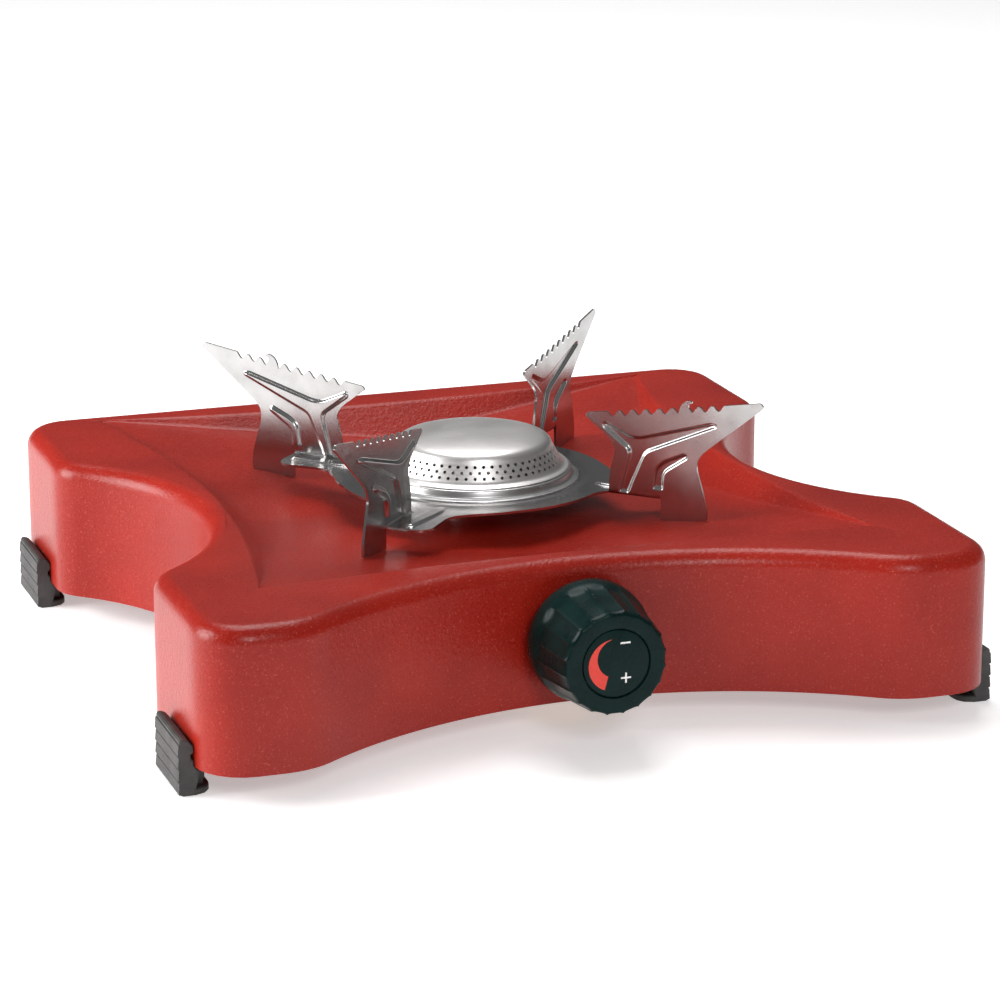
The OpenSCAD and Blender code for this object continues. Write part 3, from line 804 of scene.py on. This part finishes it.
def wingOutline(legFoot, hooked):
    s = support
    low = plateMiddle + s["bend"] * (1 - math.pi / 2)
    tab = (s["legIn"] + s["legOut"] - s["tabWidth"]) / 2
    tabEnd = tab + s["tabWidth"]
    tabLow = legFoot(tab) - s["tabDrop"]
    start, tip = s["innerRadius"], s["tipRadius"]
    top = [(u, v, 0) for u, v in serrations(hooked)]
    return softCorners([(start, 25, 0.8), (start + 0.8, topEdge(start), 0.8)] + top + [
        (tip - 1.0, topEdge(tip) - 0.1, 1.2), (tip, topEdge(tip) - 1.6, 1.2),
        (81.5, 18, 3), (78.6, 15, 3), (78.0, 11.5, 4), (80.3, 4, 6), (s["legOut"], -2, 3),
        (s["legOut"], legFoot(s["legOut"]), 0.6), (tabEnd, legFoot(tabEnd), 0),
        (tabEnd, tabLow, 0.6), (tab, tabLow, 0.6),
        (tab, legFoot(tab), 0), (s["legIn"], legFoot(s["legIn"]), 0.6), (s["legIn"], 1.8, 0.3),
        (s["foldOut"], 1.8, 0.3), (s["foldOut"], low, 0), (s["foldIn"], low, 0),
        (48, 7, 4), (50.3, 15, 4), (48, 18.5, 3)])


wingBeads = [
    softCorners([(84.6, 25.4, 1), (60.6, 14.6, 1.6), (55.6, 2.8, 2), (54.9, 0.6, 1), (51.1, 0.6, 1),
                 (54.3, 12.6, 2), (54.4, 15.2, 1.6), (45.3, 22.0, 1), (46.0, 24.0, 1), (55.4, 19.9, 3),
                 (58.5, 19.9, 3),
                 (82.8, 27.1, 1), (84.8, 26.6, 1)]),
    softCorners([(75.4, 14.5, 1), (67.3, 8.9, 1.8), (66.8, 6.4, 1.8), (66.8, 3.0, 1), (63.0, 3.0, 1),
                 (64.0, 10.4, 2), (66.6, 12.9, 2.5), (74.1, 16.3, 1)]),
]


def wingSpots():
    s = support
    low = plateMiddle + s["bend"] * (1 - math.pi / 2)
    foldSpots = np.arange(s["foldIn"] + 0.5, s["foldOut"] - 0.3, 1.0)
    rows = [(u, low + s["bend"] * math.pi / 2 * k / s["foldRows"])
            for k in range(1, s["foldRows"] + 1) for u in foldSpots]
    return np.vstack([contourSpots(wingBeads, s["contours"], s["contourStep"]), rows])


def wingRelief(points):
    return raised(points, wingBeads, support["slope"]) * support["beadDepth"]


def placeWing(bearing):
    s = support
    c, n = math.cos(bearing), math.sin(bearing)

    def place(u, v, w):
        run = v - (plateMiddle + s["bend"] * (1 - math.pi / 2))
        if u < s["foldOut"] + 0.05 and run < s["bend"] * math.pi / 2:
            angle = run / s["bend"]
            w, v = (s["bend"] - (s["bend"] - w) * math.sin(angle),
                    plateMiddle + s["bend"] - (s["bend"] - w) * math.cos(angle))
        return (u * c - w * n, u * n + w * c, v)
    return place


def plateOutline():
    s = support
    arm = [(44.3, -4.2, 0), (45.6, -1.4, 2), (48, s["bend"], 0), (s["foldOut"], s["bend"], 0), (66.1, 9.6, 3),
           (64.4, 13.2, 3), (61.5, 14.2, 3), (47.9, 13.4, 5), (42.8, 18.1, 5), (36.6, 26.5, 3)]
    loop = []
    for q in range(4):
        bearing = math.radians(s["firstWing"] + 90 * q)
        c, n = math.cos(bearing), math.sin(bearing)
        loop += [(u * c - w * n, u * n + w * c, r) for u, w, r in arm]
        for degrees in range(42, 84, 4):
            x, y, _ = around(s["plateRadius"], 0, s["firstWing"] + 90 * q + degrees)
            loop.append((x, y, 0))
    return softCorners(loop)


def armLoops():
    long = [(63.6, 8.3), (63.4, 3.7), (43, 4.7), (39.6, 6.2), (39.6, 8.6), (43, 10.1), (48, 10.0)]
    loops = []
    for q in range(4):
        bearing = math.radians(support["firstWing"] + 90 * q)
        c, n = math.cos(bearing), math.sin(bearing)
        loops.append(softCorners([(u * c - w * n, u * n + w * c, 2) for u, w in long]))
    return loops


def plateSpots():
    s = support
    ring = [around(36.5, 0, 2 * k)[:2] for k in range(180)]
    return np.vstack([contourSpots(armLoops(), s["contours"], s["contourStep"]),
                      contourSpots([ring], (-1, -0.5, 0, 0.5, 1), 1.2)])


def plateRelief(points):
    ring = np.clip((37.4 - np.hypot(points[:, 0], points[:, 1])) / 1.8, 0, 1)  # the low step around the bowl
    return raised(points, armLoops(), 0.9) * support["loopDepth"] + 0.35 * ring * ring * (3 - 2 * ring)


def buildSupport():
    s = support
    circle = [around(s["opening"], 0, 5 * k)[:2] for k in range(72)]
    points, faces = pressedSheet(plateOutline(), [circle], s["step"] * 1.2, s["sheet"], plateSpots(),
                                 plateRelief, lambda x, y, w: (x, y, plateMiddle + w))
    spots = wingSpots()
    for q in range(4):
        def legFoot(u):
            x, y, _ = around(u, 0, s["firstWing"] + 90 * q)
            return s["legGap"] - dishFall(x, y + burnerBehindArcs)

        outline = wingOutline(legFoot, q in s["hookedWings"])
        place = placeWing(math.radians(s["firstWing"] + 90 * q))
        more, skin = pressedSheet(outline, [], s["step"], s["sheet"], spots, wingRelief, place)
        faces += [[len(points) + k for k in face] for face in skin]
        points += more
    return addPiece("pan_support_pressing", points, faces, "stainless_sheet", burnerAxis, sharpAt=38)


show(buildSupport(), "base", "stainless_sheet", "pan_support")


# knob: twenty fluted sectors about its own axis, which points out of the front

knob = {
    "flutes": 20, "steps": 10, "weld": 0.01, "fluteEnd": 6.0, "fadeLength": 2.4, "frontDepth": 0.5,
    "backDepth": 0.55,
    "profile": [(0, 24.8), (10.6, 24.8), (10.75, 25.6), (10.95, 25.95), (12.5, 26), (14.9, 26), (15.6, 25.85),
                (16.05, 25.5), (16.3, 25), (16.5, 24), (16.95, 20), (17.5, 15.5), (17.95, 11.5), (18.2, 9.5),
                (18.35, 8.4), (18.5, 7.5), (18.65, 6.8), (18.85, 6.0), (19.05, 5.0), (19.2, 3.8), (19.2, 0.8),
                (19.0, 0.25), (18.5, 0), (15, 0), (15, 4.5), (4.1, 4.5), (4.1, 17.8), (0, 17.8)],
}
knobTurn = Matrix(((1, 0, 0, 0), (0, 0, -1, 0), (0, 1, 0, 0), (0, 0, 0, 1)))


def flute(r, z, t):
    k = knob
    if r < 13 or z < k["fluteEnd"]:
        return r
    share = min(1, (z - k["fluteEnd"]) / k["fadeLength"])
    depth = k["backDepth"] + (k["frontDepth"] - k["backDepth"]) * (z - k["fluteEnd"]) / 20
    rounding = 0.5 if z > 25.7 else 1
    return r - depth * rounding * share * (1 - (2 * t - 1) ** 2) ** 0.6


knobBody = grow("knob_body", ringOf, {
    "Cell": latheSector("knob_sector", knob["profile"], 360 / knob["flutes"], knob["steps"], "knob_plastic",
                        flute),
    "Count": knob["flutes"], "Weld": knob["weld"] * mm, "Finish": finishes["knob_plastic"]},
    knobTurn, knobAxis, 50)
show(knobBody, "tap", "knob_plastic", "knob")

disc = {"radius": 10.5, "face": 25.7, "back": 24.9, "sectors": 48}
discProfile = [(0, disc["back"]), (disc["radius"], disc["back"]), (disc["radius"], disc["face"] - 0.25),
               (disc["radius"] - 0.1, disc["face"] - 0.07), (disc["radius"] - 0.3, disc["face"]),
               (0, disc["face"])]
knobDisc = grow("knob_disc", ringOf, {
    "Cell": latheSector("disc_sector", discProfile, 360 / disc["sectors"], 1, "label_plastic"),
    "Count": disc["sectors"], "Weld": knob["weld"] * mm, "Finish": finishes["label_plastic"]},
    knobTurn, knobAxis, 50)
show(knobDisc, "tap", "label_plastic", "knob_label")


def raisedMark(name, outlines, finish):  # a thin printed shape on the disc's face
    points, faces = [], []
    for outline in outlines:
        first, count = len(points), len(outline)
        for height in (disc["face"] - 0.05, disc["face"] + 0.06):
            points += [(x, y, height) for x, y in outline]
        for k in range(count):
            j = (k + 1) % count
            faces.append([first + k, first + j, first + count + j, first + count + k])
        faces.append(list(range(first + count - 1, first - 1, -1)))
        faces.append(list(range(first + count, first + 2 * count)))
    piece = addPiece(name, points, faces, finish, knobAxis, knobTurn)
    return show(piece, "tap", "label_plastic")


def arcLine(centre, radius, start, end, steps):
    spots = [around(radius, 0, start + (end - start) * k / steps) for k in range(steps + 1)]
    return [(x + centre[0], y + centre[1]) for x, y, _ in spots]


def bar(x, y, halfLength, halfWidth):
    return [(x + a * halfLength, y + b * halfWidth) for a, b in ((-1, -1), (1, -1), (1, 1), (-1, 1))]


def plus(x, y, reach, half):
    quarter = [(half, half), (half, reach), (-half, reach), (-half, half)]
    turned = []
    for q in range(4):
        c, n = (1, 0, -1, 0)[q], (0, 1, 0, -1)[q]
        turned += [(x + a * c - b * n, y + a * n + b * c) for a, b in quarter[:3]]
    return turned


outerArc = arcLine((-0.7, -0.4), 8.1, 95.1, 248.3, 30)
innerArc = arcLine((0.1, 1.7), 6.1, 243.8, 104.3, 26)
raisedMark("crescent_mark", [outerArc + innerArc], "mark_red")
raisedMark("minus_and_plus", [bar(2.8, 6.26, 1.6, 0.27), plus(3.05, -4.7, 1.6, 0.27)], "mark_white")


# feet: a moulded clip with an overlapping row of slats on its outer face

foot = {
    "wallFace": 126.2, "wallInner": 124.6, "outer": 130.3, "height": 17.5, "length": 28, "soleIn": 120.4,
    "slats": 4, "slatPitch": 3.95, "slatHeight": 3.75, "slatTop": 16.0, "soleThick": 2.0,
}


def prism(outline, low, high, axis, rim):  # an extruded outline with its edges eased
    work = bmesh.new()
    lay = {"Y": lambda a, b, c: (a, c, b), "Z": lambda a, b, c: (a, b, c)}[axis]
    ends = [[work.verts.new([v * mm for v in lay(a, b, c)]) for a, b in outline] for c in (low, high)]
    work.faces.new(ends[0])
    work.faces.new(reversed(ends[1]))
    for k in range(len(outline)):
        j = (k + 1) % len(outline)
        work.faces.new([ends[0][k], ends[1][k], ends[1][j], ends[0][j]])
    bmesh.ops.recalc_face_normals(work, faces=work.faces)
    bmesh.ops.bevel(work, geom=list(work.edges), offset=rim * mm, segments=2, affect="EDGES",
                    clamp_overlap=True)
    mesh = bpy.data.meshes.new("prism")
    work.to_mesh(mesh)
    work.free()
    mesh.materials.append(finishes["rubber"])
    piece = bpy.data.objects.new("prism", mesh)
    bpy.context.scene.collection.objects.link(piece)
    return piece


def buildFoot(name, node):
    f = foot
    half = f["length"] / 2
    plate = prism([(f["wallFace"], 13.0), (f["wallFace"], 15.2), (f["wallFace"] + 1.4, 16.9),
                   (f["outer"] - 0.9, f["height"]), (f["outer"] - 0.1, f["height"] - 0.5),
                   (f["outer"], 0.5), (f["outer"] - 0.5, 0), (f["wallFace"], 0),
                   (f["wallInner"] + 0.3, 4.3), (f["wallInner"] - 0.2, 7.4), (f["wallFace"], 8.8),
                   (f["wallFace"], 10.9), (f["wallFace"] + 0.8, 11.1), (f["wallFace"] + 0.8, 12.8)],
                  -half, half, "Y", 0.25)
    sole = prism([(f["outer"] - 1, -half), (f["soleIn"] + 5, -half), (f["soleIn"] + 2, 1.3 - half),
                  (f["soleIn"] + 0.5, 3.4 - half), (f["soleIn"], 6 - half), (f["soleIn"], half - 6),
                  (f["soleIn"] + 0.5, half - 3.4), (f["soleIn"] + 2, half - 1.3), (f["soleIn"] + 5, half),
                  (f["outer"] - 1, half)], 0, f["soleThick"], "Z", 0.3)
    inner = f["wallInner"]
    grip = prism([(inner - 2.4, 4.0), (inner + 0.6, 4.0), (inner + 0.6, 8.8), (inner, 8.8), (inner, 13.6),
                  (inner - 1.0, 15.0), (inner - 1.7, 15.0), (inner - 2.4, 14.0)],
                 3 - half, half - 3, "Y", 0.25)
    rib = prism([(f["soleIn"] + 2, 1.2), (f["wallFace"] + 0.5, 1.2), (f["wallFace"] + 0.5, 5),
                 (inner - 2.2, 5)],
                4 - half, half - 4, "Y", 0.25)
    slat = prism([(f["outer"] - 0.5, -0.05), (f["outer"] + 0.22, -0.15),
                  (f["outer"] + 0.5, 0.25 - f["slatHeight"]), (f["outer"] + 0.25, -f["slatHeight"]),
                  (f["outer"] - 0.5, -f["slatHeight"] + 0.1)],
                 0.05 - half, half - 0.05, "Y", 0.12)
    slat.data.transform(Matrix.Translation((0, 0, f["slatTop"] * mm)))
    slats = grow("slats", rowOf, {"Cell": slat, "Count": f["slats"], "Step": (0, 0, -f["slatPitch"] * mm),
                                  "Weld": 0.0, "Finish": finishes["rubber"]}, sharpAt=60)
    plate.name = name
    for added in (sole, grip, rib, slats):
        union = plate.modifiers.new("union", "BOOLEAN")
        union.operation = "UNION"
        union.object = added
    settle(plate, 32)
    discard(sole, grip, rib, slats)
    side = -1 if middleOf(node).x < 0 else 1
    plate.data.transform(Matrix.Translation((0, middleOf(node).y, 0)) @ Matrix.Diagonal((side, 1, 1, 1)))
    closeUp(plate.data, 32)
    return show(plate, "base", "rubber", node)


for corner in ("front_left", "front_right", "rear_left", "rear_right"):
    buildFoot("foot_moulding_" + corner, "foot_" + corner)


# finishes on the pieces that keep their CAD shape

finishOf = {
    "burner_locknut": "brass", "mixing_elbow": "cast_zinc", "mixing_tube": "cast_zinc",
    "air_shutter": "stainless_sheet", "gas_jet": "brass", "valve_body": "brass",
    "valve_washer": "zinc_plated", "valve_panel_nut": "zinc_plated",
    "spindle_gland": "brass", "spindle_oring": "rubber", "valve_spindle": "brass", "knob_clip": "zinc_plated",
    "inlet_pipe": "copper", "pipe_nut_valve": "brass", "pipe_nut_inlet": "brass", "inlet_connector": "brass",
    "inlet_washer": "rubber", "inlet_locknut": "zinc_plated",
}
for node, finish in finishOf.items():
    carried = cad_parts[node]
    for slot in carried.material_slots:
        slot.material = finishes[finish]
print("carried pieces:", len(finishOf))


# floor, light and camera

def buildStage():
    floor = bpy.data.meshes.new("floor")
    reach = 6
    floor.from_pydata([(-reach, -reach, 0), (reach, -reach, 0), (reach, reach, 0), (-reach, reach, 0)], [],
                      [[0, 1, 2, 3]])
    paper = Paint("studio_paper")
    fibre = paper.noise(3, 2)
    floor.materials.append(paper.finish(
        Base_Color=paper.blend(paper.ramp(fibre, 0.3, 0.7), (0.90, 0.90, 0.90), (0.93, 0.93, 0.93)),
        Roughness=0.9,
        Emission_Color=(1, 1, 1), Emission_Strength=0.42))
    ground = bpy.data.objects.new("studio_floor", floor)
    bpy.context.scene.collection.objects.link(ground)


def softbox(name, place, aim, width, height, watts, tint=(1, 1, 1)):
    lamp = bpy.data.lights.new(name, "AREA")
    lamp.shape = "RECTANGLE"
    lamp.size, lamp.size_y = width, height
    lamp.energy = watts
    lamp.color = tint
    box = bpy.data.objects.new(name, lamp)
    box.location = place
    box.rotation_euler = (Vector(aim) - Vector(place)).to_track_quat("-Z", "Y").to_euler()
    bpy.context.scene.collection.objects.link(box)


def buildSky():
    sky = bpy.data.worlds.new("studio_room")
    bpy.context.scene.world = sky
    sky.use_nodes = True
    tree = sky.node_tree
    tree.nodes.clear()
    place = tree.nodes.new("ShaderNodeTexCoord")
    split = tree.nodes.new("ShaderNodeSeparateXYZ")
    shade = tree.nodes.new("ShaderNodeValToRGB")
    room = tree.nodes.new("ShaderNodeBackground")
    output = tree.nodes.new("ShaderNodeOutputWorld")
    tree.links.new(place.outputs["Generated"], split.inputs[0])
    tree.links.new(split.outputs["Z"], shade.inputs[0])
    tree.links.new(shade.outputs[0], room.inputs["Color"])
    tree.links.new(room.outputs[0], output.inputs["Surface"])
    shade.color_ramp.elements[0].position, shade.color_ramp.elements[0].color = 0.0, (0.25, 0.25, 0.26, 1)
    shade.color_ramp.elements[1].position, shade.color_ramp.elements[1].color = 0.75, (1, 1, 1, 1)
    room.inputs["Strength"].default_value = 0.22


def buildCamera():
    lens = bpy.data.cameras.new("camera")
    lens.lens, lens.sensor_width = 132.97, 36
    lens.clip_end = 50
    camera = bpy.data.objects.new("camera", lens)
    camera.location = (-0.3737, -1.1043, 0.3810)
    target = Vector((-0.0013, -0.0321, 0.054))
    camera.rotation_euler = (target - camera.location).to_track_quat("-Z", "Y").to_euler()
    bpy.context.scene.collection.objects.link(camera)
    bpy.context.scene.camera = camera


buildStage()
buildSky()
softbox("left_window", (-1.3, 0.3, 0.5), (0, 0, 0.04), 0.8, 0.8, 25)
softbox("back_canopy", (0.1, 0.5, 1.5), (0, 0, 0.04), 0.9, 0.9, 16)
softbox("front_fill", (-0.2, -1.9, 1.1), (0, 0, 0.03), 0.5, 0.5, 14)
buildCamera()
bpy.context.scene.view_settings.view_transform = "Standard"
bpy.context.scene.view_settings.look = "None"
